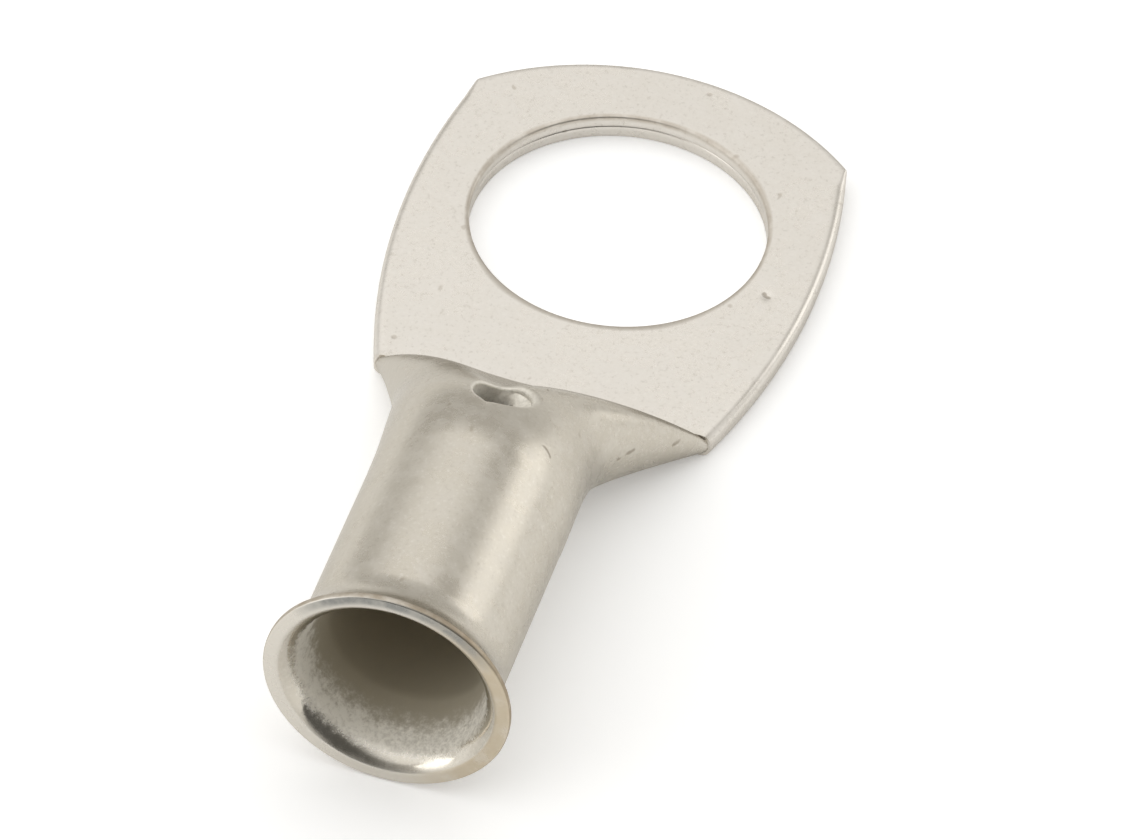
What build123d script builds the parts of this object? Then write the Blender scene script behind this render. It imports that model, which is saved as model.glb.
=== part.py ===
from build123d import *
from math import hypot, pi, sin, sqrt
import os

# A tubular ring terminal, made from one length of copper tube. One end is pressed flat into a palm
# and punched for a stud, the other end is flared so that a stranded conductor slips in.
# Millimetres. The origin is on the stud hole's axis, on the palm's underside. X runs along the
# barrel towards the palm's tip, Y across the palm, Z up out of the underside.
# A reach is a distance from the stud hole's axis along X.

# Palm, both tube walls pressed together
STUD_HOLE_DIAMETER = 10.5
PALM_THICKNESS = 0.95
PALM_WIDTH = 15.0
PALM_WIDEST_AT = -0.55
PALM_SIDE_RADIUS = 26.5
TIP_REACH = 7.9
TIP_RADIUS = 10.2
NECK_REACH = 9.2
SIDE_ROLL = 0.3
TIP_BREAK = 0.12
STUD_HOLE_BREAK = 0.08
SHEAR_SPARE = 1.0

# Barrel and its flared mouth
BARREL_DIAMETER = 7.0
WALL = 0.7
MOUTH_REACH = 27.2
MOUTH_DIAMETER = 8.5
MOUTH_FACE = 0.45
RIM_THICKNESS = 0.25
RIM_BREAK = 0.08
FLARE_LENGTH = 2.0
FLARE_STEEPNESS = 1.0
LIP_DEPTH = 0.8
LIP_DIAMETER = 6.4
LIP_STEEPNESS = 2.0
LEAD_IN_LENGTH = 2.6
LEAD_IN_STEEPNESS = 0.2

# Transition from the flat palm to the round barrel
SHOULDER_REACH = 13.6
SHOULDER_SWELL = 0.17
SHOULDER_ROUND = 0.6
CROWN_REACH = 18.5
VALLEY_DEPTH = 0.55
VALLEY_WIDTH = 2.0
PRESS_LEAN = 0.25
DIE_STEP = 0.05
SLIT_HEIGHT = 0.14
SKIN_STATIONS = (0, 0.1, 0.2, 0.3, 0.39, 0.47, 0.55, 0.64, 0.74, 0.87, 1, 1.04, 1.08)
CAVITY_STATIONS = (0, 0.1, 0.2, 0.31, 0.41, 0.5, 0.6, 0.72, 0.86, 1, 1.04, 1.08)
HAIR = 0.02
ENTRY_SLOPE = 0.3
ENTRY_OVERLAP = 0.2

# Inspection hole, where the conductor's end is seen
SIGHT_HOLE_SHARE = 0.64
SIGHT_HOLE_ASIDE = -0.15
SIGHT_HOLE_DIAMETER = 2.0
SIGHT_HOLE_BREAK = 0.15

# Values that follow from the sizes above
barrel_radius = BARREL_DIAMETER / 2
bore_radius = barrel_radius - WALL
mouth_radius = MOUTH_DIAMETER / 2
axis_height = mouth_radius
crown_height = axis_height + barrel_radius
keel_height = axis_height - barrel_radius
transition_length = CROWN_REACH - NECK_REACH
barrel_end = -CROWN_REACH + ENTRY_OVERLAP
flare_start = -MOUTH_REACH + FLARE_LENGTH
barrel_axis = Axis((0, 0, axis_height), (1, 0, 0))
barrel_plane = Plane(origin=(0, 0, axis_height), x_dir=(1, 0, 0), z_dir=(0, -1, 0))


def share(x, reach):
    """How far x lies on the way from the die edge, which is 0, to that reach, which is 1."""
    return min(max((-x - NECK_REACH) / (reach - NECK_REACH), 0), 1)


def eased(start, end, x):
    """A height that leaves the die edge steeply and lies level where it meets the barrel."""
    left = 1 - share(x, CROWN_REACH)
    return end - (end - start) * left * left


def slope(start, end, x):
    """The steepness of that height at x."""
    return 2 * (end - start) * (1 - share(x, CROWN_REACH)) / transition_length


def palm_half_width(x):
    """Half the palm's width at x, out to its side arcs."""
    bow = PALM_SIDE_RADIUS - sqrt(PALM_SIDE_RADIUS**2 - (x - PALM_WIDEST_AT) ** 2)
    return PALM_WIDTH / 2 - bow


def section_limits(x, skin):
    """Lowest and highest point of the pressed tube at x, skin deep inside its outer face."""
    low_start = DIE_STEP
    high_start = PALM_THICKNESS - DIE_STEP
    low = eased(low_start, keel_height, x) + skin * hypot(1, slope(low_start, keel_height, x))
    high = eased(high_start, crown_height, x) - skin * hypot(1, slope(high_start, crown_height, x))
    return low, high


def ramp(distance):
    """Rises evenly past zero, with the corner there rounded."""
    return (distance + hypot(distance, SHOULDER_ROUND)) / 2


def spread(x):
    """Half the width of the pressed tube at x: hardly oval up to the shoulder, then flaring."""
    oval = min(max((CROWN_REACH + x) / (CROWN_REACH - SHOULDER_REACH), 0), 1)
    flare = ramp(SHOULDER_REACH + x) / ramp(SHOULDER_REACH - NECK_REACH)
    widest = palm_half_width(-NECK_REACH) - DIE_STEP
    swell = SHOULDER_SWELL * oval**2
    return barrel_radius + swell + (widest - barrel_radius - SHOULDER_SWELL) * flare


def section_half_width(x, skin):
    """Half the width of the pressed tube at x, skin deep inside its outer face."""
    tilt = (spread(x + HAIR) - spread(x - HAIR)) / (2 * HAIR)
    return spread(x) - skin * hypot(1, tilt)


def lean(x):
    """How far the press has pushed the tube aside at x."""
    return PRESS_LEAN * sin(pi * share(x, CROWN_REACH)) ** 2


def flattened_section(x, skin):
    """Half the flat, lowest, highest and valley height of the pressed tube at x.

    A pressed tube keeps two round sides joined by flats, and the upper flat sinks in its middle.
    """
    low, high = section_limits(x, skin)
    flat = max(section_half_width(x, skin) - (high - low) / 2, HAIR)
    depth = VALLEY_DEPTH * sin(pi * share(x, CROWN_REACH)) ** 2
    valley = depth * flat / (flat + VALLEY_WIDTH / 2)
    return flat, low, high, high - valley


def entry(station):
    """A hair proud of the round tube up to where a section enters it, then well inside it."""
    if station <= 1:
        return -HAIR * station
    return ENTRY_SLOPE * (station - 1) * transition_length


def section_plane(x):
    """The plane across the tube at x, on the line where the press has left its middle."""
    return Plane(origin=(x, lean(x), 0), x_dir=(0, 1, 0), z_dir=(1, 0, 0))


def slit_reach():
    """The reach where the two walls have come together but for the slit's height."""
    near, far = NECK_REACH, CROWN_REACH
    while far - near > HAIR:
        half_way = (near + far) / 2
        low, high = section_limits(-half_way, WALL)
        if high - low > SLIT_HEIGHT:
            far = half_way
        else:
            near = half_way
    return far


with BuildPart() as ring_terminal:
    # Palm: a strip whose sides are rolled where the tube folds
    side_centre = PALM_SIDE_RADIUS - PALM_WIDTH / 2
    with BuildSketch():
        with Locations((PALM_WIDEST_AT, -side_centre)):
            Circle(PALM_SIDE_RADIUS)
        with Locations((PALM_WIDEST_AT, side_centre)):
            Circle(PALM_SIDE_RADIUS, mode=Mode.INTERSECT)
        with Locations((-NECK_REACH, 0)):
            Rectangle(
                NECK_REACH + TIP_REACH + SHEAR_SPARE,
                PALM_WIDTH,
                align=(Align.MIN, Align.CENTER),
                mode=Mode.INTERSECT,
            )
    extrude(amount=PALM_THICKNESS)
    fillet(faces().filter_by(Plane.XY).edges().filter_by(GeomType.CIRCLE), SIDE_ROLL)

    # Tip: sheared to an arc, with its edges dulled all round
    with BuildSketch():
        with Locations((TIP_REACH - TIP_RADIUS, 0)):
            Rectangle(
                TIP_RADIUS + 2 * SHEAR_SPARE, 2 * PALM_WIDTH, align=(Align.MIN, Align.CENTER)
            )
            Circle(TIP_RADIUS, mode=Mode.SUBTRACT)
    extrude(amount=PALM_THICKNESS, mode=Mode.SUBTRACT)
    tip_rim = edges().filter_by(GeomType.CIRCLE).group_by(Axis.Z)[-1].sort_by(Axis.X)[-1]
    chamfer(tip_rim, TIP_BREAK)

    # Transition: sections that go from the flat palm to the round tube, and a hair inside it
    for station in SKIN_STATIONS:
        place = -NECK_REACH - station * transition_length
        flat, low, high, valley = flattened_section(place, entry(station))
        reach_out = flat + (high - low) / 2
        middle = (high + low) / 2
        with BuildSketch(section_plane(place)):
            with BuildLine():
                Line((-flat, low), (flat, low))
                ThreePointArc((flat, low), (reach_out, middle), (flat, high))
                Spline((flat, high), (0, valley), (-flat, high), tangents=((-1, 0), (-1, 0)))
                ThreePointArc((-flat, high), (-reach_out, middle), (-flat, low))
            make_face()
    loft()

    # Barrel, solid for now, with its mouth flared outwards
    with BuildSketch(barrel_plane):
        with BuildLine():
            Polyline(
                (barrel_end, 0), (barrel_end, barrel_radius), (flare_start, barrel_radius)
            )
            flare = Spline(
                (flare_start, barrel_radius),
                (-MOUTH_REACH + RIM_THICKNESS, mouth_radius),
                tangents=((-1, 0), (-1, FLARE_STEEPNESS)),
            )
            Polyline(flare @ 1, (-MOUTH_REACH, mouth_radius), (-MOUTH_REACH, 0), (barrel_end, 0))
        make_face()
    revolve(axis=barrel_axis)
    rim = edges().filter_by(GeomType.CIRCLE).sort_by(Axis.X)[0]
    chamfer(rim, RIM_BREAK)

    # Bore: rounded lip, lead-in for the strands, then the straight bore
    with BuildSketch(barrel_plane):
        with BuildLine():
            lip = Spline(
                (-MOUTH_REACH, mouth_radius - MOUTH_FACE),
                (-MOUTH_REACH + LIP_DEPTH, LIP_DIAMETER / 2),
                tangents=((1, -LIP_STEEPNESS), (1, -LEAD_IN_STEEPNESS)),
            )
            Polyline(
                lip @ 1,
                (-MOUTH_REACH + LEAD_IN_LENGTH, bore_radius),
                (barrel_end, bore_radius),
                (barrel_end, 0),
                (-MOUTH_REACH, 0),
                lip @ 0,
            )
        make_face()
    revolve(axis=barrel_axis, mode=Mode.SUBTRACT)

    # Cavity: the bore goes on into the transition and closes to a slit where the walls meet
    slit_at = slit_reach()
    for station in CAVITY_STATIONS:
        place = -slit_at - station * (CROWN_REACH - slit_at)
        flat, low, high, valley = flattened_section(place, WALL + entry(station))
        reach_out = flat + (high - low) / 2
        middle = (high + low) / 2
        with BuildSketch(section_plane(place)):
            with BuildLine():
                Line((-flat, low), (flat, low))
                ThreePointArc((flat, low), (reach_out, middle), (flat, high))
                Spline((flat, high), (0, valley), (-flat, high), tangents=((-1, 0), (-1, 0)))
                ThreePointArc((-flat, high), (-reach_out, middle), (-flat, low))
            make_face()
    loft(mode=Mode.SUBTRACT)

    # Stud hole, punched from above
    with BuildSketch():
        Circle(STUD_HOLE_DIAMETER / 2)
    extrude(amount=PALM_THICKNESS, mode=Mode.SUBTRACT)
    chamfer(
        edges()
        .filter_by(GeomType.CIRCLE)
        .filter_by(lambda edge: abs(edge.radius - STUD_HOLE_DIAMETER / 2) < HAIR)
        .sort_by(Axis.Z)[-1],
        STUD_HOLE_BREAK,
    )

    # Inspection hole through the upper wall only
    sight_at = -NECK_REACH - SIGHT_HOLE_SHARE * transition_length
    with BuildSketch(Plane(origin=(sight_at, SIGHT_HOLE_ASIDE, axis_height))):
        Circle(SIGHT_HOLE_DIAMETER / 2)
    extrude(amount=BARREL_DIAMETER, mode=Mode.SUBTRACT)
    sight_wall = faces().filter_by(GeomType.CYLINDER).sort_by(Axis.Z)[-1]
    sight_rim = sight_wall.edges().sort_by(lambda edge: edge.bounding_box().max.Z)[-1]
    chamfer(sight_rim, SIGHT_HOLE_BREAK)

ring_terminal.part.label = "ring_terminal"
os.makedirs("parts", exist_ok=True)
export_step(ring_terminal.part, "parts/ring_terminal.step")
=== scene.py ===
import math
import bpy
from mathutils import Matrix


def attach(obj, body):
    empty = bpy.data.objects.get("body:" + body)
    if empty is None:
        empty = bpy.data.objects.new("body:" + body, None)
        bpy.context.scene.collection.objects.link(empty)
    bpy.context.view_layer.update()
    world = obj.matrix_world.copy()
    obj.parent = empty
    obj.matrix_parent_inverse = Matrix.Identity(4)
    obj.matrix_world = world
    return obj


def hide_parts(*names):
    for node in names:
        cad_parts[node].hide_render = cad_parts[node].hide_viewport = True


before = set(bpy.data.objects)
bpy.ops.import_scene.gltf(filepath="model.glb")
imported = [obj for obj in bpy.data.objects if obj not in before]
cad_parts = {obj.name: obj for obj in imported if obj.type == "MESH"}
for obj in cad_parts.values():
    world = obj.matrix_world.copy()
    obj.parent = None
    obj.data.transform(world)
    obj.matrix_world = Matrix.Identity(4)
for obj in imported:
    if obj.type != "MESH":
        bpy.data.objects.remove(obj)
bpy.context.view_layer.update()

from types import SimpleNamespace
import bmesh
import bpy
import numpy as np
from mathutils import Matrix

# A tubular ring terminal of tinned copper. One closed skin stands for the solid and carries the finish.
# Sizes are in millimetres, the same as in the part's source, and become metres when the mesh is made.
MM = 0.001

# Palm
HOLE_R = 5.25
THICK = 0.95
PALM_W = 15.0
WIDEST_AT = -0.55
SIDE_R = 26.5
TIP = 7.9
TIP_R = 10.2
NECK = 9.2
SIDE_ROLL = 0.3
TIP_ROLL = 0.13
TIP_CORNER = 0.22
ROLL_FADE = 0.9

# Barrel and flared mouth
BARREL_R = 3.5
WALL = 0.7
BORE_R = BARREL_R - WALL
MOUTH = 27.2
MOUTH_R = 4.25
MOUTH_FACE = 0.45
RIM = 0.25
RIM_EASE = 0.03
RIM_TURN = 0.07
RIM_ROUND = 0.1
RIM_SPARE = 0.03
FLARE_LEN = 2.0
LIP_DEPTH = 0.8
LIP_R = 3.2
LIP_SET_BACK = 0.004
LIP_EASE = 0.06
LEAD_IN = 2.6

# Pressed transition
SHOULDER = 13.6
SWELL = 0.17
SHOULDER_ROUND = 0.6
CROWN = 18.5
RUN = CROWN - NECK
VALLEY_DEPTH = 0.55
VALLEY_WIDTH = 2.0
LEAN = 0.25
STEP = 0.05
SLIT = 10.15
SLIT_SPARE = 0.03
AXIS_Z = MOUTH_R
CROWN_Z = AXIS_Z + BARREL_R
KEEL_Z = AXIS_Z - BARREL_R
HAIR = 0.02

# Sight hole, drawn in on one side where the punch dragged the wall
SIGHT_SHARE = 0.64
SIGHT_AT = -NECK - SIGHT_SHARE * RUN
SIGHT_Y = -0.15
SIGHT_R = 1.0
SIGHT_ROLL = 0.15
DRAWN_ROLL = 0.28
DRAWN_FOOT = 0.5
DRAWN_TOWARDS = math.radians(-60)

# The stud hole's wall, how far outside its radius at each height: a rolled upper edge, the shear mark
# between the two pressed walls and a crisp lower edge
HOLE_PROFILE = [
    (0.1, 0.95), (0.062, 0.938), (0.03, 0.92), (0.008, 0.89), (0, 0.85), (0, 0.72), (0, 0.6),
    (-0.004, 0.52), (0.012, 0.495), (0.034, 0.478), (0.012, 0.46), (0.004, 0.44),
    (0.006, 0.3), (0.008, 0.12), (0.014, 0.03), (0.03, 0),
]
HOLE_ROLL_ROWS = 5
SHEAR_BAND = (0.4, 0.53)

# A nick on the palm
NICK_AT = (-1.88, -5.95)
NICK_R = 0.14
NICK_DEPTH = 0.035
ON_FACE = 0.01

# Scratches and nicks in the finish: two ends and half the width
MARKS = [
    ((-14.27, 2.5, 5.89), (-16.92, 1.17, 7.39), 0.07),
    ((-17.15, -2.2, 6.82), (-17.35, -2.48, 6.62), 0.09),
    ((-13.06, -3.85, 2.83), (-12.41, -4.19, 2.75), 0.11),
    ((-13.9, -3.56, 3.2), (-13.5, -3.66, 2.7), 0.1),
    ((-10.75, -5.13, 1.77), (-10.4, -5.28, 1.75), 0.1),
    ((-13.5, -1.25, 5.6), (-13.75, -1.36, 5.85), 0.08),
    ((-1.81, -5.84, 0.95), (-1.95, -6.04, 0.95), 0.10),
]

# Counts of the structured mesh: points round the tube, then rows of each stretch
N_TOP = 78
N_SIDE = 10
N_RING = 2 * (N_TOP + N_SIDE)
N_ROLL = 4
N_ALONG_SIDE = 93
N_ALONG_CORNER = 9
N_ALONG_TIP = 42
N_RAYS = 22
N_TRANSITION = 81
N_BARREL = 34
N_FLARE = 20
N_ROUND = 7
N_FACE = 6
N_LIP = 18
N_LEAD_IN = 16
N_BORE = 26
PATCH_ROWS = 15
PATCH_COLUMNS = 17
PATCH_COLUMN_OUT = -3
PATCH_COLUMN_IN = -4
N_PATCH_OUT = 9
N_SIGHT_ROLL = 9
N_SIGHT_WALL = 7
N_PATCH_IN = 6
N_FINE_FLAT = 160
N_FINE_ROUND = 240
SHARP_ANGLE = math.radians(38)

# Wear, in rows of the tube counted from the lip's first one
SHINE_FROM = 2
SHINE_GROWS = 3
SHINE_END = N_LIP + 2
SHINE_FADES = 5
RING_ROWS = (-15, 1)
RIM_ROWS = (-17, -10)
# Where the dark painted reflection lies across the top of the ring
REFLECTION_FROM = -10
REFLECTION_ACROSS = (0, 0.3, 0.7, 1, 1, 1, 1, 0.9, 0.6, 0.25, 0)
REFLECTION_TURN = 0.06
REFLECTION_HALF = math.radians(56)
REFLECTION_FADE = 0.25
HOLE_EDGE_WEAR = 0.6
PUNCHED_ROWS = 5
CAVITY_DEPTH = 9.0
LIT_REACH = 1.2
LIT_FADE = 2.5

points = []
faces = []


def add(block):
    """Adds points and returns their numbers in the block's own shape."""
    block = np.asarray(block, float)
    start = len(points)
    points.extend(block.reshape(-1, 3).tolist())
    return np.arange(start, len(points)).reshape(block.shape[:-1])


def at(ids):
    return np.array([points[i] for i in ids])


def skin_grid(rows, closed):
    """Four-cornered faces between the rows of numbers."""
    n = rows.shape[1]
    for a, b in zip(rows[:-1], rows[1:]):
        for i in range(n if closed else n - 1):
            j = (i + 1) % n
            faces.append((a[i], a[j], b[j], b[i]))


def hermite(p0, p1, t0, t1, n):
    """Points on a cubic from p0 to p1 with those directions at its ends."""
    p0, p1, t0, t1 = (np.array(v, float) for v in (p0, p1, t0, t1))
    size = np.linalg.norm(p1 - p0)
    t0, t1 = t0 / np.linalg.norm(t0) * size, t1 / np.linalg.norm(t1) * size
    t = np.linspace(0, 1, n)[:, None]
    ends = (2 * t**3 - 3 * t**2 + 1) * p0 + (3 * t**2 - 2 * t**3) * p1
    return ends + (t**3 - 2 * t**2 + t) * t0 + (t**3 - t**2) * t1


def arc(centre, r, a0, a1, n):
    """Points on an arc and their outward directions."""
    a = np.linspace(a0, a1, n)
    out = np.stack([np.cos(a), np.sin(a)], 1)
    return np.asarray(centre) + r * out, out


# The pressed tube's sections, by the same formulas as the solid's


def share(x):
    return np.clip((-x - NECK) / RUN, 0, 1)


def ramp(d):
    return (d + math.hypot(d, SHOULDER_ROUND)) / 2


def side_y(x):
    return PALM_W / 2 - (SIDE_R - math.sqrt(SIDE_R**2 - (x - WIDEST_AT) ** 2))


def spread(x):
    oval = min(max((CROWN + x) / (CROWN - SHOULDER), 0), 1)
    widest = side_y(-NECK) - STEP
    flare = ramp(SHOULDER + x) / ramp(SHOULDER - NECK)
    return BARREL_R + SWELL * oval**2 + (widest - BARREL_R - SWELL) * flare


def lean(x):
    return LEAN * math.sin(math.pi * share(x)) ** 2


def section(x, skin):
    """Half the flat, lowest, highest and valley depth of the tube at x, skin deep inside its face."""
    left = 1 - share(x)
    limits = []
    for start, end, side in ((STEP, KEEL_Z, 1), (THICK - STEP, CROWN_Z, -1)):
        steep = 2 * (end - start) * left / RUN
        limits.append(end - (end - start) * left * left + side * skin * math.hypot(1, steep))
    low, high = limits
    tilt = (spread(x + HAIR) - spread(x - HAIR)) / (2 * HAIR)
    half = spread(x) - skin * math.hypot(1, tilt)
    flat = max(half - (high - low) / 2, 0)
    valley = VALLEY_DEPTH * math.sin(math.pi * share(x)) ** 2 * flat / (flat + VALLEY_WIDTH / 2)
    return flat, low, high, valley


def sink(t):
    """The valley's profile: 1 in its middle, 0 at the flat's end."""
    return 1 - 3 * t**2 + 2 * t**3


def top_z(x, y, skin):
    """Height of the pressed tube's upper face at a point in plan."""
    flat, low, high, valley = section(x, skin)
    off = abs(y - lean(x))
    if off < flat:
        return high - valley * sink(off / flat)
    r = (high - low) / 2
    return (high + low) / 2 + math.sqrt(max(r * r - (off - flat) ** 2, 0))


def ring(x, skin):
    """Points round the pressed tube at x, evenly spaced from the middle of its top towards +Y."""
    flat, low, high, valley = section(x, skin)
    r = (high - low) / 2
    t = np.linspace(0, 1, N_FINE_FLAT)
    a = np.linspace(0, math.pi, N_FINE_ROUND)
    line = np.stack([flat + r * np.sin(a), low + r + r * np.cos(a)], 1)
    if flat > 1e-6:
        top = np.stack([flat * t, high - valley * sink(t)], 1)
        base = np.stack([flat * (1 - t), np.full(len(t), low)], 1)
        line = np.concatenate([top, line[1:], base[1:]])
    along = np.concatenate([[0], np.cumsum(np.hypot(*np.diff(line, axis=0).T))])
    even = np.linspace(0, along[-1], N_RING // 2 + 1)
    half = np.stack([np.interp(even, along, line[:, 0]), np.interp(even, along, line[:, 1])], 1)
    full = np.concatenate([half, (half * [-1, 1])[-2:0:-1]])
    return np.stack([np.full(N_RING, x), full[:, 0] + lean(x), full[:, 1]], 1)


def round_ring(x, r):
    a = np.arange(N_RING) * 2 * math.pi / N_RING
    return np.stack([np.full(N_RING, x), r * np.sin(a), AXIS_Z + r * np.cos(a)], 1)


def palm_outline():
    """The palm in plan, from the die edge round the tip and back, with its normals and its roll."""
    side_c = np.array([WIDEST_AT, PALM_W / 2 - SIDE_R])
    tip_c = np.array([TIP - TIP_R, 0.0])

    # The corner's centre is where the two arcs, set in by its radius, cross
    r_side, r_tip = SIDE_R - TIP_CORNER, TIP_R - TIP_CORNER
    gap = tip_c - side_c
    d = np.linalg.norm(gap)
    along = (r_side**2 - r_tip**2 + d**2) / (2 * d)
    off = math.sqrt(r_side**2 - along**2)
    corner_c = side_c + along * gap / d + off * np.array([gap[1], -gap[0]]) / d

    start = math.atan2(side_y(-NECK) - side_c[1], -NECK - side_c[0])
    side_end, tip_start = (math.atan2(*(corner_c - c)[::-1]) for c in (side_c, tip_c))
    side = arc(side_c, SIDE_R, start, side_end, N_ALONG_SIDE)
    corner = arc(corner_c, TIP_CORNER, side_end, tip_start, N_ALONG_CORNER)
    tip = arc(tip_c, TIP_R, tip_start, 0, N_ALONG_TIP)
    half, normal = (np.concatenate([side[k], corner[k][1:], tip[k][1:]]) for k in (0, 1))

    # The folded sides are rolled more than the sheared tip
    length = np.concatenate([[0], np.cumsum(np.hypot(*np.diff(half, axis=0).T))])
    from_corner = np.clip((length[N_ALONG_SIDE - 1] - length) / ROLL_FADE, 0, 1)
    roll = TIP_ROLL + (SIDE_ROLL - TIP_ROLL) * from_corner

    def both(v, flip):
        return np.concatenate([v, (v * flip)[-2::-1]])

    return both(half, [1, -1]), both(normal, [1, -1]), both(roll, 1)


def palm_edge():
    """The rolled edge round the palm, as rows of numbers from its top to its underside."""
    edge, normal, roll = palm_outline()
    inward = -normal
    tilt = abs(inward[0, 1])
    inward[0] = (0, -1 / tilt)
    inward[-1] = (0, 1 / tilt)
    rows = []
    for k in range(N_SIDE + 1):
        from_face = min(k, N_SIDE - k)
        if from_face <= N_ROLL:
            a = from_face / N_ROLL * math.pi / 2
            depth, drop = roll * (1 - math.sin(a)), roll * (1 - math.cos(a))
        else:
            depth, drop = roll * 0, np.full(len(roll), THICK / 2)
        height = THICK - drop if k <= N_SIDE // 2 else drop
        rows.append(np.column_stack([edge + inward * depth[:, None], height]))
    return add(np.array(rows))


def build_palm():
    """Edge, stud hole and both faces of the palm. Gives the edge, its two rims and the hole's rows."""
    edge_rows = palm_edge()
    skin_grid(edge_rows, False)

    # The die edge, between the two sides, above and below
    neck_y = np.linspace(points[edge_rows[0, -1]][1], points[edge_rows[0, 0]][1], N_TOP + 1)[1:-1]
    rims = []
    for row, height in ((edge_rows[0], THICK), (edge_rows[-1], 0.0)):
        neck = np.column_stack([np.full(N_TOP - 1, -NECK), neck_y, np.full(N_TOP - 1, height)])
        rims.append(np.concatenate([row, add(neck)]))

    # The stud hole, with the shear mark wandering a little
    plan = at(rims[0])
    ray = np.arctan2(plan[:, 1], plan[:, 0])
    wander = 0.006 * np.sin(5 * ray + 1) + 0.004 * np.sin(13 * ray)
    wall = []
    for out, z in HOLE_PROFILE:
        height = z + wander * (SHEAR_BAND[0] < z < SHEAR_BAND[1])
        wall.append(np.column_stack([(HOLE_R + out) * np.cos(ray), (HOLE_R + out) * np.sin(ray), height]))
    hole_rows = add(np.array(wall))
    skin_grid(hole_rows, True)

    # Both faces, from the hole out to the rolled edge
    for inner, outer in zip((hole_rows[0], hole_rows[-1]), rims):
        p0, p1 = at(inner), at(outer)
        between = [p0 + (p1 - p0) * k / N_RAYS for k in range(1, N_RAYS)]
        skin_grid(np.concatenate([[inner], add(np.array(between)), [outer]]), True)
    return edge_rows, rims, hole_rows


def tube_profile():
    """X and radius of the round tube, from the crown to the mouth and back in, and the lip's first row."""
    rows = [(x, BARREL_R) for x in np.linspace(-CROWN, -MOUTH + FLARE_LEN, N_BARREL)[1:]]
    flare_end = (-MOUTH + RIM, MOUTH_R - RIM_EASE)
    flare = hermite((-MOUTH + FLARE_LEN, BARREL_R), flare_end, (-1, 0), (-1, 1), N_FLARE)
    rows += [tuple(p) for p in flare[1:]]
    rows += [(-MOUTH + RIM - RIM_TURN / 2, MOUTH_R - RIM_EASE / 5)]
    rows += [(-MOUTH + RIM - RIM_TURN, MOUTH_R), (-MOUTH + RIM_ROUND + RIM_SPARE, MOUTH_R)]
    for a in np.linspace(0, math.pi / 2, N_ROUND):
        rows.append((-MOUTH + RIM_ROUND * (1 - math.sin(a)), MOUTH_R - RIM_ROUND * (1 - math.cos(a))))
    face = np.linspace(MOUTH_R - RIM_ROUND, MOUTH_R - MOUTH_FACE + LIP_EASE, N_FACE)
    rows += [(-MOUTH, r) for r in face[1:]]
    lip_start = len(rows)
    lip_top = (-MOUTH + LIP_SET_BACK, MOUTH_R - MOUTH_FACE)
    lip = hermite(lip_top, (-MOUTH + LIP_DEPTH, LIP_R), (1, -2), (1, -0.2), N_LIP)
    rows += [tuple(p) for p in lip]
    lead_in = np.linspace((-MOUTH + LIP_DEPTH, LIP_R), (-MOUTH + LEAD_IN, BORE_R), N_LEAD_IN)
    rows += [tuple(p) for p in lead_in[1:]]
    rows += [(x, BORE_R) for x in np.linspace(-MOUTH + LEAD_IN, -CROWN, N_BORE)[1:]]
    return rows, lip_start


def patch_border(ids, middle, way, column):
    """The numbers round the patch at the sight hole, in the same order on both skins."""
    rows, columns = PATCH_ROWS, PATCH_COLUMNS
    cells = [(-rows, c) for c in range(-columns, columns)]
    cells += [(r, columns) for r in range(-rows, rows)]
    cells += [(rows, c) for c in range(columns, -columns, -1)]
    cells += [(r, -columns) for r in range(rows, -rows, -1)]
    return np.array([ids[middle + way * r, (column + c) % N_RING] for r, c in cells])


def skin_with_patch(ids, middle, column):
    """Faces between the rows, leaving out the patch at the sight hole."""
    for r in range(len(ids) - 1):
        for c in range(N_RING):
            off = (c if c < N_RING // 2 else c - N_RING) - column
            in_rows = middle - PATCH_ROWS <= r < middle + PATCH_ROWS
            if in_rows and -PATCH_COLUMNS <= off < PATCH_COLUMNS:
                continue
            nxt = (c + 1) % N_RING
            faces.append((ids[r, c], ids[r, nxt], ids[r + 1, nxt], ids[r + 1, c]))


def build_sight_hole(out_border, in_border):
    """Rebuilds each skin's patch round the hole and joins the two by a rolled wall."""
    centre = np.array([SIGHT_AT, SIGHT_Y])
    outer, inner = at(out_border), at(in_border)
    angle = np.arctan2(outer[:, 1] - centre[1], outer[:, 0] - centre[0])
    unit = np.stack([np.cos(angle), np.sin(angle)], 1)
    dragged = np.clip(np.cos(angle - DRAWN_TOWARDS), 0, 1)[:, None]
    roll = SIGHT_ROLL + DRAWN_ROLL * dragged
    edge = centre + SIGHT_R * unit
    foot = centre + (SIGHT_R - DRAWN_FOOT * dragged) * unit

    def heights(plan, skin):
        return np.array([top_z(x, y, skin) for x, y in plan])

    stack = [out_border]
    for f in np.linspace(0, 1, N_PATCH_OUT)[1:]:
        plan = outer[:, :2] * (1 - f) + (centre + (SIGHT_R + roll) * unit) * f
        stack.append(add(np.column_stack([plan, heights(plan, 0)])))
    rolled_from = len(stack)
    for a in np.linspace(0, math.pi / 2, N_SIGHT_ROLL)[1:]:
        plan = centre + (SIGHT_R + roll * (1 - math.sin(a))) * unit
        stack.append(add(np.column_stack([plan, heights(plan, 0) - roll[:, 0] * (1 - math.cos(a))])))
    wall_top = heights(edge, 0) - roll[:, 0]
    wall_low = heights(foot, WALL)
    for f in np.linspace(0, 1, N_SIGHT_WALL)[1:]:
        stack.append(add(np.column_stack([edge * (1 - f) + foot * f, wall_top * (1 - f) + wall_low * f])))
    for f in np.linspace(0, 1, N_PATCH_IN)[1:-1]:
        plan = foot * (1 - f) + inner[:, :2] * f
        stack.append(add(np.column_stack([plan, heights(plan, WALL)])))
    stack.append(in_border)
    skin_grid(np.array(stack), True)
    return stack[rolled_from:-1]


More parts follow.
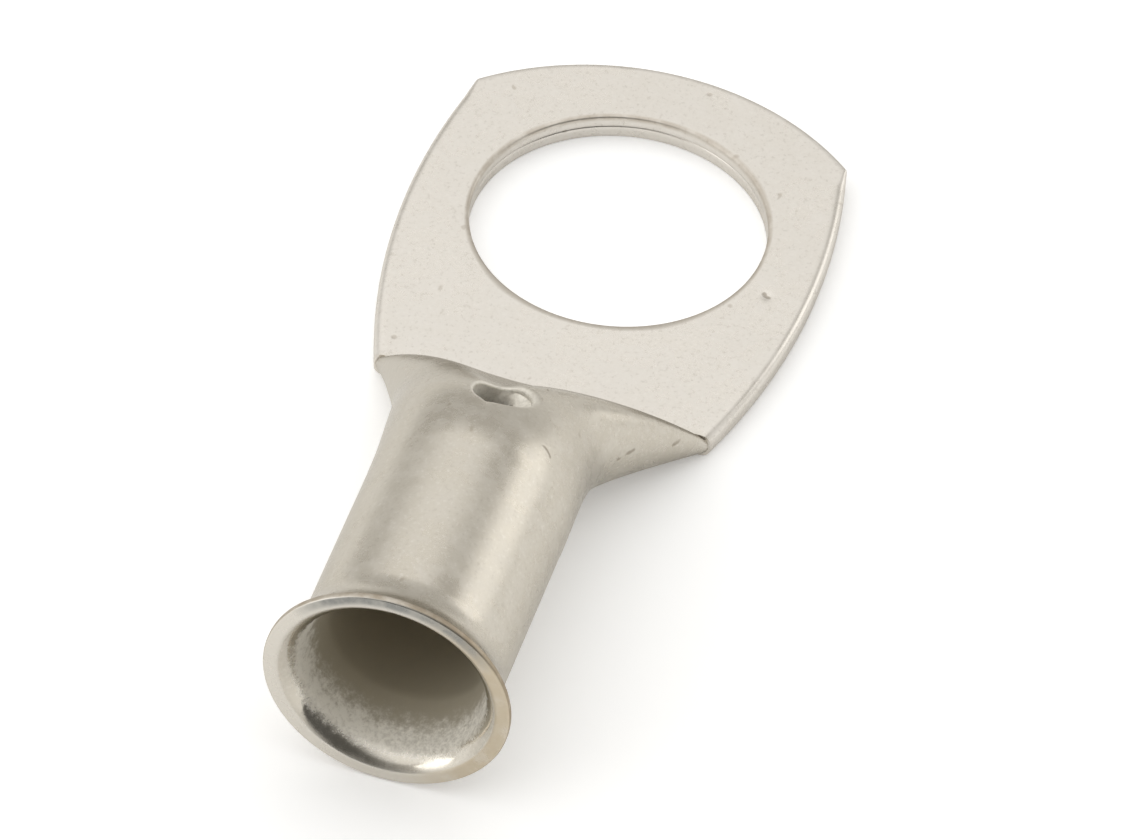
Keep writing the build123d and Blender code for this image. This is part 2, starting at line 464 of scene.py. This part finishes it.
def die_step(edge_rows, rims, first_ring):
    """The small step where the die's edge bit into the tube."""
    top, low = (rim[edge_rows.shape[1]:] for rim in rims)
    half = N_TOP // 2 - 1
    loop = [top[half:], edge_rows[:, 0], low[::-1], edge_rows[::-1, -1], top[:half]]
    skin_grid(np.array([np.concatenate(loop), first_ring]), True)


def close_slit(last):
    """The slit's closed end, deep in the transition."""
    for j in range(N_RING // 2):
        across = (N_RING - j - 1) % N_RING, (N_RING - j) % N_RING
        corners = last[j], last[j + 1], last[across[0]], last[across[1]]
        faces.append(tuple(dict.fromkeys(corners)))


def build_tube(edge_rows, rims):
    """Transition, barrel, flare and bore. Gives the tube's, the cavity's and the sight hole's rows."""
    out_x = np.linspace(-NECK, -CROWN, N_TRANSITION)
    in_x = [x for x in out_x[::-1] if x < -SLIT - SLIT_SPARE][1:] + [-SLIT]
    out_ids = add(np.array([ring(x, 0) for x in out_x]))
    tube_ids = add(np.array([round_ring(x, r) for x, r in profile]))
    in_ids = add(np.array([ring(x, WALL) for x in in_x]))
    die_step(edge_rows, rims, out_ids[0])

    mid_out = int(np.argmin(abs(out_x - SIGHT_AT)))
    mid_in = int(np.argmin(abs(np.array(in_x) - out_x[mid_out])))
    skin_with_patch(np.concatenate([out_ids, tube_ids[:1]]), mid_out, PATCH_COLUMN_OUT)
    skin_grid(tube_ids, True)
    skin_grid(np.array([tube_ids[-1], in_ids[0]]), True)
    skin_with_patch(in_ids, mid_in, PATCH_COLUMN_IN)
    out_border = patch_border(out_ids, mid_out, 1, PATCH_COLUMN_OUT)
    in_border = patch_border(in_ids, mid_in, -1, PATCH_COLUMN_IN)
    sight_wall = build_sight_hole(out_border, in_border)
    close_slit(in_ids[-1])
    return tube_ids, in_ids, sight_wall


def make_terminal():
    """Turns the points and faces into the skin's object."""
    verts = np.array(points)
    from_nick = (verts[:, 0] - NICK_AT[0]) ** 2 + (verts[:, 1] - NICK_AT[1]) ** 2
    on_top = abs(verts[:, 2] - THICK) < ON_FACE
    verts[:, 2] -= NICK_DEPTH * np.exp(-from_nick / NICK_R**2) * on_top

    mesh = bpy.data.meshes.new("terminal_skin")
    mesh.from_pydata((verts * MM).tolist(), [], [tuple(int(i) for i in f) for f in faces])
    work = bmesh.new()
    work.from_mesh(mesh)
    bmesh.ops.recalc_face_normals(work, faces=work.faces)
    work.to_mesh(mesh)
    work.free()
    mesh.shade_smooth()
    mesh.set_sharp_from_angle(angle=SHARP_ANGLE)
    made = bpy.data.objects.new("terminal_skin", mesh)
    bpy.context.scene.collection.objects.link(made)
    return made


def paint_wear(mesh, tube_ids, in_ids, hole_rows, sight_wall):
    """Keeps numbers per point for the material: where the tools and the strands have left their marks, and
    where light and a reflection are painted on.
    """
    names = "depth", "punched", "lip_shine", "ring_face", "rim_edge", "burnish"
    wear = {name: np.zeros(len(points)) for name in names}
    row = np.arange(len(profile)) - lip_start

    # Depth from the mouth along the inside in millimetres, less near the sight hole where light gets in
    from_mouth = np.array([x for x, r in profile]) + MOUTH
    wear["depth"][tube_ids] = (from_mouth * (row >= 0))[:, None]
    cavity = in_ids.ravel()
    from_hole = np.hypot(*(at(cavity)[:, :2] - (SIGHT_AT, SIGHT_Y)).T)
    wear["depth"][cavity] = CAVITY_DEPTH * np.clip((from_hole - LIT_REACH) / LIT_FADE, 0, 1)
    # The sight hole's wall, which the material paints paler: painted light that lifts the shade inside the
    # hole
    for k, ids in enumerate(sight_wall):
        wear["punched"][ids] = min(k / PUNCHED_ROWS, 1)
        wear["depth"][ids] = 0

    # The lip that the flaring tool polished, the flat ring round it, and the worn edge behind that
    grows = np.clip((row - SHINE_FROM) / SHINE_GROWS, 0, 1)
    fades = np.clip((SHINE_END - row) / SHINE_FADES, 0, 1)
    shine = grows * fades * (row < N_LIP)
    wear["lip_shine"][tube_ids] = shine[:, None]
    wear["ring_face"][tube_ids] = ((row >= RING_ROWS[0]) & (row <= RING_ROWS[1]))[:, None]
    wear["rim_edge"][tube_ids] = ((row >= RIM_ROWS[0]) & (row <= RIM_ROWS[1]))[:, None]
    wear["rim_edge"][hole_rows[:HOLE_ROLL_ROWS]] = HOLE_EDGE_WEAR

    # A dark streak painted across the top of the ring: a painted reflection of the shaded floor below the
    # mouth, given a brushed look
    round_angle = np.arange(N_RING) * 2 * math.pi / N_RING
    inside = np.cos(round_angle + REFLECTION_TURN) - math.cos(REFLECTION_HALF)
    near_top = np.clip(inside / REFLECTION_FADE, 0, 1)
    burnish_rows = REFLECTION_FROM + np.arange(len(REFLECTION_ACROSS))
    across = np.interp(row, burnish_rows, REFLECTION_ACROSS)
    wear["burnish"][tube_ids] = across[:, None] * near_top

    for name, values in wear.items():
        mesh.attributes.new(name, "FLOAT", "POINT").data.foreach_set("value", values.astype(np.float32))


class Graph:
    """Small helper round a node tree."""

    def __init__(self, tree):
        self.tree = tree

    def node(self, kind, **values):
        n = self.tree.nodes.new(kind)
        for key, value in values.items():
            setattr(n, key, value)
        return n

    def link(self, a, b):
        self.tree.links.new(a, b)

    def attribute(self, name):
        return self.node("ShaderNodeAttribute", attribute_name=name).outputs["Fac"]

    def axes(self, vector):
        n = self.node("ShaderNodeSeparateXYZ")
        self.link(vector, n.inputs[0])
        return list(n.outputs)

    def math(self, op, a, b=0.0, clamp=False):
        n = self.node("ShaderNodeMath", operation=op, use_clamp=clamp)
        for socket, value in zip(n.inputs, (a, b)):
            if isinstance(value, (int, float)):
                socket.default_value = value
            else:
                self.link(value, socket)
        return n.outputs[0]

    def times(self, a, b):
        return self.math("MULTIPLY", a, b)

    def add(self, a, b, clamp=False):
        return self.math("ADD", a, b, clamp)

    def less(self, a, b, clamp=False):
        return self.math("SUBTRACT", a, b, clamp)

    def noise(self, where, scale, detail, rough):
        n = self.node("ShaderNodeTexNoise")
        self.link(where, n.inputs["Vector"])
        n.inputs["Scale"].default_value = scale
        n.inputs["Detail"].default_value = detail
        n.inputs["Roughness"].default_value = rough
        return n.outputs["Fac"]

    def uneven(self, value, noise, reach):
        """The value, moved to and fro by a noise."""
        return self.add(value, self.times(self.less(noise, 0.5), reach))

    def span(self, value, a, b, to_a=0.0, to_b=1.0):
        n = self.node("ShaderNodeMapRange", interpolation_type="SMOOTHSTEP")
        self.link(value, n.inputs["Value"])
        for name, number in (("From Min", a), ("From Max", b), ("To Min", to_a), ("To Max", to_b)):
            n.inputs[name].default_value = number
        return n.outputs["Result"]

    def mix(self, factor, a, b):
        n = self.node("ShaderNodeMix", data_type="RGBA")
        self.link(factor, n.inputs["Factor"])
        for socket, value in ((n.inputs[6], a), (n.inputs[7], b)):
            if isinstance(value, tuple):
                socket.default_value = (*value, 1)
            else:
                self.link(value, socket)
        return n.outputs[2]

    def vec(self, op, a, b=None):
        n = self.node("ShaderNodeVectorMath", operation=op)
        for socket, value in zip(n.inputs, (a, b)):
            if isinstance(value, tuple):
                socket.default_value = value
            elif value is not None:
                self.link(value, socket)
        return n.outputs["Value" if op in ("DOT_PRODUCT", "LENGTH") else "Vector"]

    def scaled(self, vector, factor):
        """A vector times a number, either of which may be a constant."""
        n = self.node("ShaderNodeVectorMath", operation="SCALE")
        for socket, value in ((n.inputs[0], vector), (n.inputs["Scale"], factor)):
            if isinstance(value, (tuple, float)):
                socket.default_value = value
            else:
                self.link(value, socket)
        return n.outputs["Vector"]

    def mark(self, where, p, q, wide):
        """1 on the line from p to q, in millimetres, and 0 away from it."""
        p, q = np.array(p) * MM, np.array(q) * MM
        run = q - p
        rel = self.vec("SUBTRACT", where, tuple(p))
        t = self.math("MAXIMUM", self.vec("DOT_PRODUCT", rel, tuple(run / run.dot(run))), 0.0)
        nearest = self.scaled(tuple(run), self.math("MINIMUM", t, 1.0))
        away = self.vec("LENGTH", self.vec("SUBTRACT", rel, nearest))
        return self.span(away, wide * MM, wide * 0.3 * MM)

    def spots(self, where, scale, radius, chosen):
        """Spots in a few cells of a Voronoi pattern, those whose random number is past chosen."""
        cells = self.node("ShaderNodeTexVoronoi", feature="F1")
        self.link(where, cells.inputs["Vector"])
        cells.inputs["Scale"].default_value = scale
        colour = self.node("ShaderNodeSeparateColor")
        self.link(cells.outputs["Color"], colour.inputs[0])
        spot = self.span(cells.outputs["Distance"], *radius)
        return self.times(spot, self.span(colour.outputs[0], *chosen))


# Colours of the finish
TIN = (0.518, 0.480, 0.410)
TIN_PALE = (0.568, 0.530, 0.458)
TIN_LIGHT = (0.630, 0.595, 0.533)
PALM_TIN = (0.668, 0.632, 0.576)
PALM_LIGHT = (0.722, 0.688, 0.637)
PALE_SPECK = (0.78, 0.75, 0.695)
DARK_SPECK = (0.43, 0.395, 0.34)
PIT = (0.36, 0.31, 0.25)
SCUFF = (0.36, 0.315, 0.25)
SCRATCH = (0.27, 0.225, 0.17)
# Painted light: the mouth's ring face made paler to make up for the shaded floor it mirrors
RING_PAINTED_LIGHT = (0.655, 0.622, 0.562)
RING_TAN = (0.50, 0.425, 0.31)
# A dark painted reflection on the ring's top, not a colour of the tin
PAINTED_REFLECTION = (0.235, 0.235, 0.222)
WORN_EDGE = (0.33, 0.27, 0.195)
SCRAPED_DARK = (0.68, 0.645, 0.57)
SCRAPED_BRIGHT = (0.95, 0.915, 0.83)
BORE_TIN = (0.50, 0.455, 0.36)
EDGE_TINT = (0.75, 0.74, 0.72, 1)


def tin_masks(g):
    """Where on the terminal each kind of surface is, from 0 to 1. Noise scales are per metre."""
    m = SimpleNamespace()
    where = g.node("ShaderNodeTexCoord").outputs["Object"]
    m.x, m.y = g.axes(where)[:2]
    m.broad = g.noise(where, scale=260, detail=2, rough=0.5)
    m.grain = g.noise(where, scale=1500, detail=5, rough=0.62)
    m.fine = g.noise(where, scale=7000, detail=4, rough=0.6)
    m.light = g.span(m.grain, 0.35, 0.7)
    m.pressed = g.span(m.x, -(NECK + 0.5) * MM, -(NECK - 0.3) * MM)
    m.lip = g.attribute("lip_shine")
    m.ring = g.attribute("ring_face")
    m.rim = g.attribute("rim_edge")
    m.burnish = g.attribute("burnish")

    # Inside, the strands scrape the lead-in, and the bore behind it is dull
    depth = g.attribute("depth")
    coarse = g.noise(where, scale=2600, detail=6, rough=0.78)
    m.bore = g.span(g.uneven(depth, coarse, 2.6), 1.05, 2.15)
    ragged = g.noise(where, scale=5200, detail=5, rough=0.75)
    begun = g.span(g.uneven(depth, ragged, 0.8), 0.22, 0.75)
    scraped = g.times(g.times(begun, g.span(depth, 0.08, 0.3)), g.less(1.0, m.bore))
    # The punched sight-hole wall takes the pale scraped colour: painted light that lifts its shade inside
    # the hole
    m.dull = g.math("MAXIMUM", scraped, g.times(g.attribute("punched"), 0.8))
    streak = g.span(g.noise(where, scale=6500, detail=5, rough=0.7), 0.3, 0.66)
    # Paler towards +Y: painted light on the side of the lead-in that the lamps leave in shade
    m.streak = g.add(streak, g.times(g.span(m.y, -0.0015, 0.002), 0.45), clamp=True)

    # Pits, short scuffs along the tube, and the scratches, with uneven edges
    m.pit = g.spots(where, scale=1100, radius=(0.17, 0.06), chosen=(0.93, 0.95))
    wobble = g.node("ShaderNodeTexNoise")
    g.link(where, wobble.inputs["Vector"])
    wobble.inputs["Scale"].default_value = 2600
    shake = g.scaled(g.vec("SUBTRACT", wobble.outputs["Color"], (0.5, 0.5, 0.5)), 0.28 * MM)
    shaken = g.vec("ADD", where, shake)
    drawn_out = g.vec("MULTIPLY", shaken, (0.45, 1.0, 1.0))
    m.scuff = g.spots(drawn_out, scale=2100, radius=(0.22, 0.08), chosen=(0.87, 0.91))
    m.scratch = g.mark(shaken, *MARKS[0])
    for one in MARKS[1:]:
        m.scratch = g.math("MAXIMUM", m.scratch, g.mark(shaken, *one))
    return m


def tin_colour(g, m):
    """Warm grey tin, paler on the palm that the die pressed, with its wear and some painted light: a paler
    ring face, a dark painted reflection on its top, and a paler lead-in side and sight-hole wall.
    """
    tone = g.mix(g.span(m.broad, 0.3, 0.7), TIN, TIN_PALE)
    tone = g.mix(g.times(m.light, 0.5), tone, TIN_LIGHT)
    palm_light = g.add(g.times(m.light, 0.7), g.span(m.broad, 0.3, 0.7, 0.0, 0.3))
    palm = g.mix(palm_light, PALM_TIN, PALM_LIGHT)
    tone = g.mix(g.times(m.pressed, 0.92), tone, palm)
    aside = g.span(m.y, -0.0002, -0.0032)
    tan = g.times(g.times(m.ring, aside), g.span(m.grain, 0.25, 0.6, 0.5, 0.9))
    scraped = g.mix(m.streak, SCRAPED_DARK, SCRAPED_BRIGHT)
    layers = [
        # Pale and dark specks of the plate, then its pits, scuffs and scratches
        (g.times(g.span(m.fine, 0.46, 0.3), 0.24), PALE_SPECK),
        (g.times(g.span(m.fine, 0.54, 0.72), 0.34), DARK_SPECK),
        (g.times(m.pit, 0.45), PIT),
        (g.times(m.scuff, 0.45), SCUFF),
        (g.times(m.scratch, 0.55), SCRATCH),
        # The mouth's ring: paler as painted light, tan on one side, a dark painted reflection on top, worn
        # round its edge
        # Painted light: the ring face paler than the tin around it
        (g.times(m.ring, 0.75), RING_PAINTED_LIGHT),
        (tan, RING_TAN),
        # Painted reflection: the ring's top darkened where it would mirror the shaded floor
        (g.times(m.burnish, g.span(m.grain, 0.3, 0.65, 1.0, 0.65)), PAINTED_REFLECTION),
        (g.times(m.rim, g.span(m.grain, 0.3, 0.6, 0.3, 0.8)), WORN_EDGE),
        # The inside: scraped lead-in, then the bore
        (m.dull, scraped),
        (m.bore, BORE_TIN),
    ]
    for amount, colour in layers:
        tone = g.mix(amount, tone, colour)
    return tone


def tin_roughness(g, m):
    """Satin outside, rough where it is worn, smooth on the polished lip."""
    rough = g.add(g.span(m.broad, 0.3, 0.7, 0.22, 0.28), g.times(g.span(m.grain, 0.3, 0.7), 0.08))
    rough = g.add(rough, g.times(g.math("MAXIMUM", m.scratch, m.rim), 0.2))
    rough = g.add(rough, g.times(m.dull, 0.25))
    rough = g.add(rough, g.times(m.bore, 0.35), clamp=True)
    return g.less(rough, g.times(g.times(m.lip, g.less(1.0, m.dull)), 0.17))


def tin_relief(g, m):
    """Grain that stands out, with pits and scratches cut into it."""
    height = g.add(g.times(m.grain, 0.6), g.times(m.fine, 0.2))
    height = g.less(height, g.times(m.pit, 0.7))
    height = g.less(height, g.times(m.scratch, 1.2))
    height = g.add(height, g.times(g.times(m.streak, m.dull), 0.8))
    bump = g.node("ShaderNodeBump")
    bump.inputs["Strength"].default_value = 0.22
    bump.inputs["Distance"].default_value = 0.03 * MM
    g.link(height, bump.inputs["Height"])
    return bump.outputs["Normal"]


def tin_plate():
    """Satin tin on copper: softly mottled and pitted outside, with a scraped lead-in and a dull bore, and
    with light and a dark reflection painted on at the mouth, the lead-in and the sight hole.
    """
    mat = bpy.data.materials.new("satin_tin_and_painted_light")
    mat.use_nodes = True
    g = Graph(mat.node_tree)
    m = tin_masks(g)
    shader = mat.node_tree.nodes["Principled BSDF"]
    g.link(tin_colour(g, m), shader.inputs["Base Color"])
    metal = g.less(1.0, g.times(m.dull, 0.78))
    g.link(g.less(metal, g.times(m.bore, 0.6), clamp=True), shader.inputs["Metallic"])
    g.link(tin_roughness(g, m), shader.inputs["Roughness"])
    g.link(tin_relief(g, m), shader.inputs["Normal"])
    shader.inputs["Specular Tint"].default_value = EDGE_TINT
    return mat


# Stage, in metres
FLOOR_HALF = 3.0
FLOOR_DROP = 0.00002
FLOOR_GLOW = 0.22
FLOOR_WHITE = (0.97, 0.97, 0.965, 1)
DOME_STRENGTH = 1.275
DOME_LOW = (0.545, 0.537, 0.52)
DOME_SIDES = (0.785, 0.78, 0.77)
DOME_TOP = (1.0, 0.995, 0.985)
DOME_FRONT = (0.11, 0.108, 0.103)
MIDDLE = (-0.010, 0, 0.003)
STRIP_PLACE = (0.26, -0.248, 0.123)
STRIP_SIZE = (0.16, 0.19)
STRIP_POWER = 0.094
FRONT_PLACE = (-0.248, 0.296, 0.104)
FRONT_SIZE = (0.20, 0.16)
FRONT_POWER = 0.15

# Camera, solved from the photograph
CAMERA_PLACE = (-0.2186786, -0.0530843, 0.2178344)
CAMERA_AIM = (-0.0091038, -0.0010333, 0)
CAMERA_ROLL = math.radians(4.212984)
CAMERA_LENS = 281.521
SENSOR_WIDTH = 36.0
CLIP = (0.01, 20)


def make_floor():
    """Plain white. A small glow, seen only directly and in reflections, lifts it to white."""
    mat = bpy.data.materials.new("floor_white")
    mat.use_nodes = True
    shader = mat.node_tree.nodes["Principled BSDF"]
    shader.inputs["Base Color"].default_value = FLOOR_WHITE
    shader.inputs["Roughness"].default_value = 0.9
    shader.inputs["Specular IOR Level"].default_value = 0.0
    shader.inputs["Emission Color"].default_value = (1, 1, 1, 1)
    g = Graph(mat.node_tree)
    rays = g.node("ShaderNodeLightPath").outputs
    reflected = g.math("MAXIMUM", rays["Is Glossy Ray"], rays["Is Transmission Ray"])
    seen = g.math("MAXIMUM", rays["Is Camera Ray"], reflected)
    g.link(g.times(seen, FLOOR_GLOW), shader.inputs["Emission Strength"])

    mesh = bpy.data.meshes.new("floor")
    corners = [(x * FLOOR_HALF, y * FLOOR_HALF, 0) for x, y in ((-1, -1), (1, -1), (1, 1), (-1, 1))]
    mesh.from_pydata(corners, [], [(0, 1, 2, 3)])
    mesh.materials.append(mat)
    made = bpy.data.objects.new("floor", mesh)
    made.location = (0, 0, -FLOOR_DROP)
    bpy.context.scene.collection.objects.link(made)
    return made


def make_dome():
    """A soft studio dome, brightest overhead, grey low down and dark at the front."""
    world = bpy.data.worlds.new("studio")
    bpy.context.scene.world = world
    world.use_nodes = True
    g = Graph(world.node_tree)
    x, y, z = g.axes(g.node("ShaderNodeTexCoord").outputs["Generated"])
    to_the_sides = g.span(g.math("ABSOLUTE", y), 0.65, 0.95)
    low = g.mix(to_the_sides, DOME_LOW, DOME_SIDES)
    above = g.add(z, g.times(y, 0.3))
    dome = g.mix(g.span(above, 0.62, 0.74), low, DOME_TOP)
    ahead = g.less(g.times(x, -1.0), g.times(y, 0.6))
    background = world.node_tree.nodes["Background"]
    g.link(g.mix(g.span(ahead, 0.3, 0.95), dome, DOME_FRONT), background.inputs["Color"])
    background.inputs["Strength"].default_value = DOME_STRENGTH


def looking(place, aim, roll=0.0):
    """The matrix of a lamp or camera at a place, turned to its aim and then rolled."""
    z = np.array(place, float) - np.array(aim, float)
    z /= np.linalg.norm(z)
    x = np.cross([0, 0, 1], z)
    x /= np.linalg.norm(x)
    y = np.cross(z, x)
    c, s = math.cos(roll), math.sin(roll)
    columns = (c * x + s * y, c * y - s * x, z, place)
    return Matrix([[float(column[i]) for column in columns] for i in range(3)] + [[0, 0, 0, 1]])


def softbox(name, place, size, power):
    lamp = bpy.data.lights.new(name, "AREA")
    lamp.shape = "RECTANGLE"
    lamp.size, lamp.size_y = size
    lamp.energy = power
    holder = bpy.data.objects.new(name, lamp)
    bpy.context.scene.collection.objects.link(holder)
    holder.matrix_world = looking(place, MIDDLE)


def make_camera():
    cam = bpy.data.cameras.new("camera")
    cam.sensor_fit = "HORIZONTAL"
    cam.sensor_width = SENSOR_WIDTH
    cam.lens = CAMERA_LENS
    cam.clip_start, cam.clip_end = CLIP
    eye = bpy.data.objects.new("camera", cam)
    bpy.context.scene.collection.objects.link(eye)
    eye.matrix_world = looking(CAMERA_PLACE, CAMERA_AIM, CAMERA_ROLL)
    return eye


profile, lip_start = tube_profile()
edge_rows, rims, hole_rows = build_palm()
tube_ids, in_ids, sight_wall = build_tube(edge_rows, rims)
terminal = make_terminal()
paint_wear(terminal.data, tube_ids, in_ids, hole_rows, sight_wall)
terminal.data.materials.append(tin_plate())
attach(terminal, "root")
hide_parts("ring_terminal")

floor = make_floor()
make_dome()
softbox("strip", STRIP_PLACE, STRIP_SIZE, STRIP_POWER)
softbox("front", FRONT_PLACE, FRONT_SIZE, FRONT_POWER)
bpy.context.scene.camera = make_camera()
bpy.context.scene.view_settings.view_transform = "Standard"
